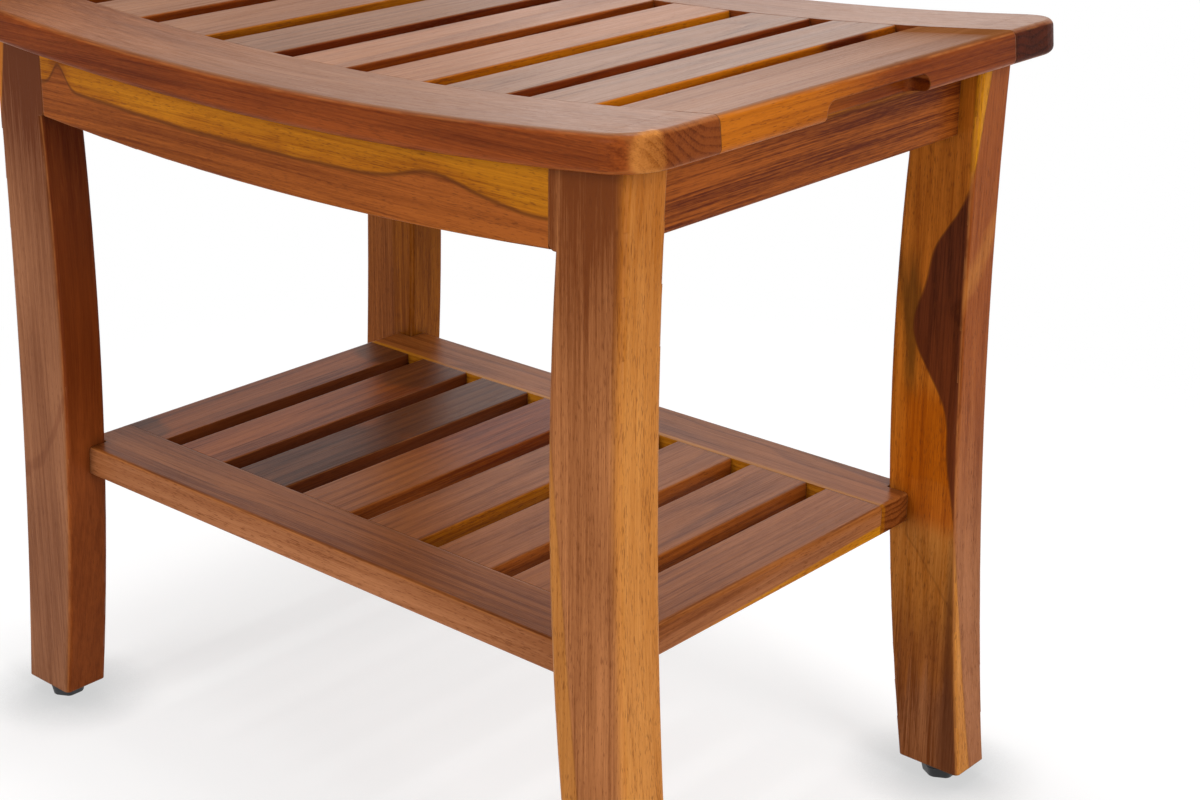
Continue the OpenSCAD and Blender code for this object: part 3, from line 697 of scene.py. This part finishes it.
APRON_BOARDS = {
    "front_apron": dict(
        grain="x", tone="brown", pith=(10, -40), figure=0.22,
        deepen=dict(at=-0.06, x=-0.0014, bulge=[("x", 160, 45, -0.16)]),
        patches=[
            apron_sap(0, tone="golden", line=0.7, wave=2.2, wave_length=(60, 30, 30), soft=2.0),
            apron_sap(6, tone="yellow", wave=18, wave_length=(30, 12, 10), soft=4, share=0.5),
            *leg_joints(),
        ],
    ),
    "rear_apron": dict(
        grain="x", tone="brown", pith=(-12, -45), cut=(900, 0, 0), figure=0.3,
        patches=[
            dict(tone="golden", line=0.5, wave=3,
                 terms=[dict(at=-409, z=1.0, bow=APRON_BOW, bulge=[("x", 60, 40, -8)])]),
            *leg_joints(),
        ],
    ),
    "side_apron_right": dict(
        grain="y", tone="rust", pith=(4, 70), ring=3.4, fleck=1.2, streak=1.8, figure=0.1, pores=0.5,
        patches=[
            dict(tone="golden", wave=4, wave_length=(40, 90, 30), soft=2.5, share=0.8,
                 terms=[dict(at=-425, z=1.0), dict(at=45, y=1.0), dict(at=95, y=-1.0)]),
        ],
    ),
    "side_apron_left": dict(grain="y", tone="brown", pith=(8, 65), cut=(350, 0, 0), fleck=1.6),
}

# The rear right leg, from its broad colours to the dark heart on its face and the lighter right side
REAR_RIGHT_LEG_FACE = [
    dict(tone="amber", soft=12, wave=18, share=0.85,
         terms=[dict(at=386, x=-1.0, z=-1.0), dict(at=176, z=-1.0)]),
    dict(tone="amber", soft=1.5, wave=9, wave_length=(18, 18, 22), share=0.9, line=0.3,
         terms=[dict(at=-259, x=0.756, z=0.656), dict(at=-210, x=1.0), dict(at=190, z=-1.0)]),
    dict(tone="ember", soft=9, wave=12, share=0.85,
         terms=[dict(at=-163, z=1.0), dict(at=242, z=-1.0), dict(at=-203, x=1.0)]),
    dict(tone="chestnut", soft=26, wave=60, wave_length=(4, 4, 130), share=0.85,
         terms=[dict(at=104, z=-1.0)]),
    dict(tone="walnut", soft=14, wave=70, wave_length=(3, 3, 110), share=0.65,
         terms=[dict(at=62, z=-1.0)]),
    dict(tone="stain", soft=4, wave=11, wave_length=(5, 5, 45), share=0.85,
         terms=[dict(at=-233.2, x=1.0, z=0.12),
                dict(at=210, x=-1.0, bulge=[("z", 315, 14, -4)]),
                dict(at=-49, z=0.2), dict(at=63, z=-0.2)]),
    dict(tone="heart", line=0.4, wave=1.6, wave_length=(20, 20, 24), soft=1.0,
         terms=[dict(at=-238.1, x=1.0, bow=LEG_OUTER_BOW,
                     bulge=[("z", 329, 24, 13.5), ("z", 280, 38, 30.8), ("z", 206, 27, 5.6)]),
                dict(at=368, z=-1.0), dict(at=-156, z=1.0), dict(at=140, y=-1.0)]),
    dict(tone="night", share=0.6, wave=3, wave_length=(12, 12, 20), soft=2.5,
         terms=[dict(at=-240, x=1.0, bulge=[("z", 294, 11, 9)]), dict(at=140, y=-1.0)]),
]
REAR_RIGHT_LEG_SIDE = [
    dict(tone="blush", faces=RIGHT),
    dict(tone="amber", faces=RIGHT, soft=7, wave=16, wave_length=(14, 14, 14), share=0.38,
         terms=[dict(at=-137.6, z=1.0, y=-1.2), dict(at=155.6, z=-1.0, y=1.2)]),
    dict(tone="fawn", faces=RIGHT, terms=[dict(at=190, z=-1.0)], soft=80, wave=30, share=0.9),
    dict(tone="yellow", line=0.3, wave=1.6, wave_length=(30, 30, 90), soft=0.9,
         terms=[dict(at=75.8, y=-1.0, z=0.154), dict(at=-237, x=1.0)]),
    dict(tone="amber", line=0.25, wave=2.0, wave_length=(30, 30, 90), soft=1.0,
         faces=RIGHT, terms=[dict(at=146.5, y=-1.0, z=-0.088)]),
]

LEG_BOARDS = {
    "leg_front_right": dict(
        grain="z", tone="leg", pith=(60, 90), cut=(140, 0, 0), tilt=(0.02, 0.015), ring=3.6, figure=0.08,
        pores=0.65, fleck=0.5, streak=0.75,
        # Its deepening term darkens the leg towards the top: painted shade under the seat
        deepen=dict(at=-0.33, z=0.0005, bulge=[("z", 425, 95, 0.57)]),
        patches=[
            dict(tone="amber", terms=[dict(at=225, x=-1.0, z=-0.1)], wave=1.6, share=0.8, line=0.3,
                 wave_length=(40, 40, 120), soft=0.9),
            dict(tone="amber", terms=[dict(at=-235.5, x=1.0, bow=LEG_OUTER_BOW)], wave=4,
                 wave_length=(30, 30, 120), soft=4.5, share=0.95),
        ],
    ),
    "leg_front_left": dict(
        grain="z", tone="walnut", pith=(-50, -70), cut=(500, 0, 0), tilt=(0.03, 0.02), ring=5.0,
        # Its deepening term darkens the leg's top: painted shade under the seat
        figure=0.10, pores=0.4, streak=0.6, fleck=0.4, deepen=dict(at=-0.14, bulge=[("z", 450, 95, 0.75)]),
        patches=[
            dict(tone="copper", faces=RIGHT, share=0.85),
            dict(tone="garnet", faces=RIGHT, share=0.5, soft=45, wave=50, wave_length=(5, 5, 90),
                 terms=[dict(at=-190, z=1.0), dict(at=345, z=-1.0)]),
            dict(tone="amber", terms=[dict(at=-301.5, x=-1.0, z=0.17), dict(at=-345, z=1.0)], wave=2),
            dict(tone="heart", share=0.34, wave=9, wave_length=(16, 16, 16), soft=2.4, faces=FRONT,
                 terms=[dict(at=-214, z=1.0, x=-0.25, bow=[("x", -240, -22)]),
                        dict(at=222, z=-1.0, x=0.25, bow=[("x", -240, 22)])]),
            dict(tone="heart", share=0.22, wave=12, wave_length=(20, 20, 20), soft=4, faces=FRONT,
                 terms=[dict(at=-60, z=1.0, x=-0.4), dict(at=68, z=-1.0, x=0.4)]),
        ],
    ),
    "leg_rear_right": dict(
        grain="z", tone="olive", pith=(30, 40), cut=(250, 0, 0), tilt=(0.05, 0.03), ring=6.0,
        figure=0.18, deepen=dict(bulge=[("z", 410, 60, -0.15)]),
        patches=REAR_RIGHT_LEG_FACE + REAR_RIGHT_LEG_SIDE,
    ),
    "leg_rear_left": dict(
        grain="z", tone="chestnut", pith=(-40, 50), cut=(750, 0, 0), figure=0.15,
        patches=[dict(tone="golden", terms=[dict(at=213, x=1.0)], soft=1.5, wave=2, share=0.6)],
    ),
}

SHELF_BOARDS = {
    "shelf_front_rail": dict(
        grain="x", tone="chestnut", pith=(35, 60), cut=(150, 0, 0), pale_edge=0.5,
        deepen=dict(at=0.26, bulge=[("x", 0, 110, -0.29)]),
        patches=[dict(tone="fawn", faces=FRONT)],
    ),
    "shelf_rear_rail": dict(
        grain="x", tone="chestnut", pith=(-30, 50), cut=(650, 0, 0), ring=3.5, figure=0.45,
        patches=[
            dict(tone="yellow", wave=2, wave_length=(80, 20, 20), share=0.75,
                 terms=[dict(at=108.5, y=-1.0)]),
        ],
    ),
    "shelf_end_slat_right": dict(
        grain="y", tone="chestnut", pith=(40, 40), cut=(450, 0, 0),
        patches=[
            dict(tone="fawn", faces=RIGHT, soft=2, wave=3, share=0.6,
                 terms=[dict(at=172, z=-1.0, y=0.03)]),
            dict(tone="yellow", wave=2.5, wave_length=(20, 90, 20),
                 terms=[dict(at=164, z=-1.0, y=0.03)]),
            *shoulders(SHELF_SHOULDER),
        ],
    ),
    "shelf_end_slat_left": shelf_slat("brown", 0, "dark", after=[
        smoke(-200, -112, 24, 0.7), smoke(-185, 108, 30, 0.8),
    ]),
    "shelf_slat_1": shelf_slat("brown", 1, "dark", after=[smoke(-140, 100, 45, 0.7)]),
    "shelf_slat_2": shelf_slat("brown", 2, "dark", figure=0.3, after=[
        smoke(-80, -60, 62, 0.85), smoke(-80, 60, 66, 0.9),
    ]),
    "shelf_slat_3": shelf_slat("chestnut", 3, "brown", figure=0.3, after=[
        dict(tone="copper", soft=50, wave=50, terms=[dict(at=0, y=1.0)]),
    ]),
    "shelf_slat_4": shelf_slat("chestnut", 4, "golden", figure=0.3),
    "shelf_slat_5": shelf_slat("chestnut", 5, "brown"),
    "shelf_slat_6": shelf_slat("chestnut", 6, "brown", figure=0.35),
}

HIDDEN_BOARDS = {
    "seat_cleat_front": dict(grain="x", tone="dark", pith=(15, 30), cut=(120, 0, 0), dull=0.15),
    "seat_cleat_rear": dict(grain="x", tone="dark", pith=(-15, 30), cut=(820, 0, 0), dull=0.15),
    "shelf_dowels": dict(grain="x", tone="pale", pith=(5, 20), cut=(20, 0, 0), dull=0.2),
}


def wear(name, material):
    """Gives a CAD node one material in all its slots."""
    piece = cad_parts[name]
    if not piece.material_slots:
        piece.data.materials.append(material)
    for slot in piece.material_slots:
        slot.material = material


def make_boards():
    grain = make_grain()
    for group in (SEAT_BOARDS, APRON_BOARDS, LEG_BOARDS, SHELF_BOARDS, HIDDEN_BOARDS):
        for name, board in group.items():
            wear(name, teak(name, grain, board))


# ---- Hardware ----

# Smudges that lighten and roughen the surface, and its edges, rubbed through the fine grit
SMUDGE_LENGTH = (6, 6, 6)
SMUDGE_START = (0.45, 0.8)
SMUDGE_ROUGHNESS = 0.25
RUB_RADIUS = 0.5
RUB_TURN = (0.01, 0.15)
RUB_START = (0.3, 0.6)
RUB_SHARE = 0.6
GRIT_DEPTH = 0.05

# How steep a thread's flanks are, and the angle from which a turned piece's edge is drawn sharp
THREAD_FLANK = 2.6
SHARP_ANGLE = math.radians(32)


def lighter(colour, factor, lift):
    """A colour times a factor, and a little more."""
    return tuple(min(1.0, c * factor + lift) for c in colour[:3]) + (1.0,)


def hardware(name, colour, metallic, rough, speck):
    """Metal or plastic with a fine speckled surface, smudged gloss and rubbed edges."""
    material, w, surface = new_material(name)
    place_mm = w.in_mm(w.node("ShaderNodeTexCoord").outputs["Object"])
    smudge = w.noise(place_mm, SMUDGE_LENGTH, 3.0)
    grit = w.noise(place_mm, (speck, speck, speck), 2.0)
    sharp = w.edges(RUB_RADIUS)[1]
    pale_edge = w.math("MULTIPLY", w.rise(sharp, *RUB_TURN), w.rise(grit, *RUB_START))
    shade = w.mix(w.rise(smudge, *SMUDGE_START), colour, lighter(colour, 1.5, 0.01))
    shade = w.mix(w.math("MULTIPLY", pale_edge, RUB_SHARE), shade, lighter(colour, 2.0, 0.05))
    w.put(surface.inputs["Base Color"], shade)
    w.put(surface.inputs["Roughness"], w.math("ADD", rough, w.swing(smudge, SMUDGE_ROUGHNESS)))
    w.put(surface.inputs["Metallic"], metallic)
    w.bump(surface, grit, GRIT_DEPTH)
    return material


def hexagon(apothem, trim=0.6):
    """Radius of a six-sided outline at each angle, with its corners softened by trim."""
    corner = apothem / math.cos(math.pi / 6) - trim

    def radius(angle):
        away = (angle + math.pi / 6) % (math.pi / 3) - math.pi / 6
        return min(apothem / math.cos(away), corner)

    return radius


def thread(crest, depth, pitch, z):
    """Radius of a screw thread at each angle, at one height."""

    def radius(angle):
        part = (z / pitch - angle / math.tau) % 1.0
        return crest - depth * min(1.0, THREAD_FLANK * abs(part - 0.5))

    return radius


def threaded(crest, depth, pitch, start, stop, steps=8):
    """The rings of a threaded length."""
    count = max(2, round(abs(stop - start) / pitch * steps))
    heights = [start + (stop - start) * i / count for i in range(count + 1)]
    return [(z, thread(crest, depth, pitch, z)) for z in heights]


def add_rings(bm, rings, place, sides=48):
    """A closed solid through rings of (height, radius or outline) in millimetres."""
    loops = []
    for z, outline in rings:
        loop = []
        for i in range(sides):
            angle = math.tau * i / sides
            radius = outline(angle) if callable(outline) else outline
            at = Vector((radius * math.cos(angle), radius * math.sin(angle), z)) * MM
            loop.append(bm.verts.new(place @ at))
        loops.append(loop)
    for low, high in zip(loops, loops[1:]):
        for i in range(sides):
            j = (i + 1) % sides
            bm.faces.new((low[i], low[j], high[j], high[i]))
    bm.faces.new(loops[0][::-1])
    bm.faces.new(loops[-1])


def make_piece(name, bm, body, node, material):
    """A finished piece that stands for a CAD node and moves with its body."""
    bmesh.ops.recalc_face_normals(bm, faces=bm.faces)
    mesh = bpy.data.meshes.new(name)
    bm.to_mesh(mesh)
    bm.free()
    for face in mesh.polygons:
        face.use_smooth = True
    mesh.set_sharp_from_angle(angle=SHARP_ANGLE)
    mesh.materials.append(material)
    piece = place_object(name, mesh)
    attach(piece, body)
    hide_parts(node)


# Feet, in millimetres
FOOT_X = 234.55
FOOT_Y = 147.0
CORNERS = {"front_left": (-1, -1), "front_right": (1, -1), "rear_left": (-1, 1), "rear_right": (1, 1)}
PAD_HEIGHT = 9.5
PAD_FLAT = 9.24
PAD_SLOPE = math.tan(math.radians(12))
STEM_BOTTOM = 4.75
STEM_TOP = 32.3

# The pad's six sides from top to sole, with a groove round them: height, and depth below the flat
PAD_SIDE = (
    (9.5, 0.75), (9.35, 0.35), (9.05, 0.08), (8.7, 0.0), (7.5, 0.0), (7.35, 0.12), (7.25, 0.38),
    (6.95, 0.38), (6.85, 0.12), (6.7, 0.0), (0.9, 0.0), (0.5, 0.1), (0.2, 0.4), (0.0, 0.95),
)


def pad_rings():
    """The rings of a pad: up the stem's socket, over the top, down its sides and in under the sole."""
    rings = [(STEM_BOTTOM, 1.0), (STEM_BOTTOM, 3.02), (9.0, 3.02), (9.3, 3.2), (9.3, 5.2), (9.5, 5.6)]
    rings += [(z, hexagon(PAD_FLAT + z * PAD_SLOPE - inset)) for z, inset in PAD_SIDE]
    return rings + [(0.0, 7.4), (0.5, 7.0), (0.5, 1.0)]


def stem_rings():
    """The rings of a threaded stem, plain in the pad and at its tip."""
    rings = [(STEM_BOTTOM, 2.4), (STEM_BOTTOM + 0.2, 2.95), (PAD_HEIGHT - 0.4, 2.95)]
    rings += threaded(2.97, 0.42, 1.0, PAD_HEIGHT - 0.3, STEM_TOP - 0.9)
    return rings + [(STEM_TOP - 0.8, 2.5), (STEM_TOP, 2.1)]


def screw_rings():
    """The rings of a countersunk wood screw with a six-sided drive, its head's face at height 0."""
    drive = hexagon(1.35, 0.0)
    rings = [(1.6, 0.3), (1.5, drive), (0.15, drive), (0.0, 1.75), (0.0, 3.7), (0.12, 3.84), (2.0, 1.97)]
    rings += [(4.0, 1.95)] + threaded(1.98, 0.4, 1.6, 4.1, 23.0)
    return rings + [(24.5, 1.2), (26.9, 0.15)]


# The rows of screws in the cleats, spaced by the seat's slats
SEAT_PITCH = 56.467
APRON_SCREWS = dict(x=[SEAT_PITCH * n for n in (-3, -1, 1, 3)], y=129.0, z=415.8)
SEAT_SCREWS = dict(x=[SEAT_PITCH * (n + 0.5) for n in range(-3, 3)], y=136.5, z=407.8)


def make_screws(name, row, outward, material):
    """Both rows of one kind of screw: outward into the aprons, or up into the seat rails."""
    bm = bmesh.new()
    for side in (-1, 1):
        turn = Matrix.Rotation(-side * math.pi / 2, 4, "X") if outward else Matrix.Identity(4)
        for x in row["x"]:
            place = Matrix.Translation(Vector((x, side * row["y"], row["z"])) * MM) @ turn
            add_rings(bm, screw_rings(), place, sides=24)
    make_piece(name + "_turned", bm, "bench", name, material)


def make_foot(corner, x_side, y_side, steel, plastic):
    """One foot's threaded stem and its pad."""
    place = Matrix.Translation(Vector((x_side * FOOT_X, y_side * FOOT_Y, 0)) * MM)
    for part, rings, slot, material in (
        ("stem", stem_rings(), "stainless_steel", steel),
        ("pad", pad_rings(), "black_plastic", plastic),
    ):
        bm = bmesh.new()
        add_rings(bm, rings, place)
        node = f"foot_{part}_{corner}"
        make_piece(node + "_turned", bm, "foot_" + corner, node, material)


def make_hardware():
    steel = hardware("stainless_steel", rgb(0.55, 0.56, 0.58), 1.0, 0.32, 0.3)
    brass = hardware("brass", rgb(0.62, 0.45, 0.18), 1.0, 0.35, 0.3)
    plastic = hardware("black_plastic", rgb(0.012, 0.013, 0.015), 0.0, 0.40, 0.35)
    make_screws("cleat_apron_screws", APRON_SCREWS, True, steel)
    make_screws("cleat_seat_screws", SEAT_SCREWS, False, steel)
    wear("foot_inserts", brass)
    for corner, (x_side, y_side) in CORNERS.items():
        make_foot(corner, x_side, y_side, steel, plastic)


# ---- Floor and light ----

# The floor, in metres: half its side, and the distances over which it fades into the background
FLOOR_HALF = 6.0
FLOOR_FADE = (0.32, 0.9)

# Its own glow, the grey that takes shadows, and the paler one that lights the bench from below
FLOOR_GLOW = 0.62
FLOOR_SHOWN = 0.475
FLOOR_BOUNCE = 0.80

# The shadow close round the feet: its reach in millimetres, and how quickly it falls off
CONTACT_REACH = 45
CONTACT_POWER = 4.0

# The world's soft light, and the grey that its white turns to between two heights
AMBIENT = 0.45
SKY_GREY = rgb(0.55, 0.55, 0.56)
SKY_RISE = (0.05, 0.9)

# Each light's place, what it points at, its width and height, and its power in watts
SOFTBOXES = {
    "overhead": ((-0.10, 0.12, 2.1), (0, 0, 0.3), 0.46, 0.40, 15),
    "side": ((2.2, -0.3, 1.3), (0.2, 0, 0.3), 1.0, 1.0, 22),
    "front": ((-0.5, -2.4, 1.1), (0, 0, 0.25), 1.1, 1.0, 22),
    "back": ((-0.95, 1.55, 1.0), (0.1, -0.1, 0.44), 0.8, 0.8, 1.3),
}


def background_rays(w):
    """1 for the rays that see the background: from the camera, or mirrored or passed on."""
    path = w.node("ShaderNodeLightPath").outputs
    seen = w.math("MAXIMUM", path["Is Camera Ray"], path["Is Glossy Ray"])
    return w.math("MAXIMUM", seen, path["Is Transmission Ray"])


def floor_material():
    """White where light falls on it, grey in the bench's shadow."""
    material = bpy.data.materials.new("floor")
    w = fresh_tree(material)
    contact = w.math("POWER", w.openness(CONTACT_REACH, 8), CONTACT_POWER)
    glow = w.shader("ShaderNodeEmission", Strength=FLOOR_GLOW)
    shown = w.shader("ShaderNodeBsdfDiffuse", Color=w.mix(contact, BLACK, grey(FLOOR_SHOWN)))
    both = w.feed(w.node("ShaderNodeAddShader"), glow, shown).outputs[0]
    bounce = w.shader("ShaderNodeBsdfDiffuse", Color=grey(FLOOR_BOUNCE))
    seen = background_rays(w)
    floor = w.blend(seen, bounce, both)
    # Away from the bench the floor runs into the white background
    white = w.shader("ShaderNodeEmission", Strength=1.0)
    reach = w.vector("LENGTH", w.node("ShaderNodeTexCoord").outputs["Object"])
    floor = w.blend(w.math("MULTIPLY", w.rise(reach, *FLOOR_FADE), seen), floor, white)
    # Nothing hides the bench from a viewpoint under the floor
    clear = w.node("ShaderNodeBsdfTransparent").outputs[0]
    floor = w.blend(w.node("ShaderNodeNewGeometry").outputs["Backfacing"], floor, clear)
    w.feed(w.node("ShaderNodeOutputMaterial"), floor)
    return material


def make_floor():
    mesh = bpy.data.meshes.new("floor")
    bm = bmesh.new()
    corners = [(-1, -1), (1, -1), (1, 1), (-1, 1)]
    bm.faces.new([bm.verts.new((x * FLOOR_HALF, y * FLOOR_HALF, 0)) for x, y in corners])
    bm.to_mesh(mesh)
    bm.free()
    mesh.materials.append(floor_material())
    floor = place_object("floor", mesh)


def make_world():
    """Soft even light, seen as white down to and at the horizon and as a pale grey overhead."""
    world = bpy.data.worlds.new("studio")
    bpy.context.scene.world = world
    w = fresh_tree(world)
    upward = w.split(w.node("ShaderNodeTexCoord").outputs["Generated"])[2]
    shown = w.mix(w.rise(upward, *SKY_RISE), WHITE, SKY_GREY)
    soft = w.shader("ShaderNodeBackground", Color=WHITE, Strength=AMBIENT)
    white = w.shader("ShaderNodeBackground", Color=shown, Strength=1.0)
    w.feed(w.node("ShaderNodeOutputWorld"), w.blend(background_rays(w), soft, white))


def softbox(name, at, aim, width, height, power):
    """A rectangular light turned to what it points at."""
    data = bpy.data.lights.new(name, "AREA")
    data.shape = "RECTANGLE"
    data.size = width
    data.size_y = height
    data.energy = power
    lamp = place_object(name, data)
    lamp.location = at
    lamp.rotation_mode = "QUATERNION"
    lamp.rotation_quaternion = (Vector(aim) - Vector(at)).to_track_quat("-Z", "Y")


make_camera()
make_boards()
make_hardware()
make_floor()
make_world()
for light, values in SOFTBOXES.items():
    softbox(light, *values)

bpy.context.scene.view_settings.view_transform = "Standard"
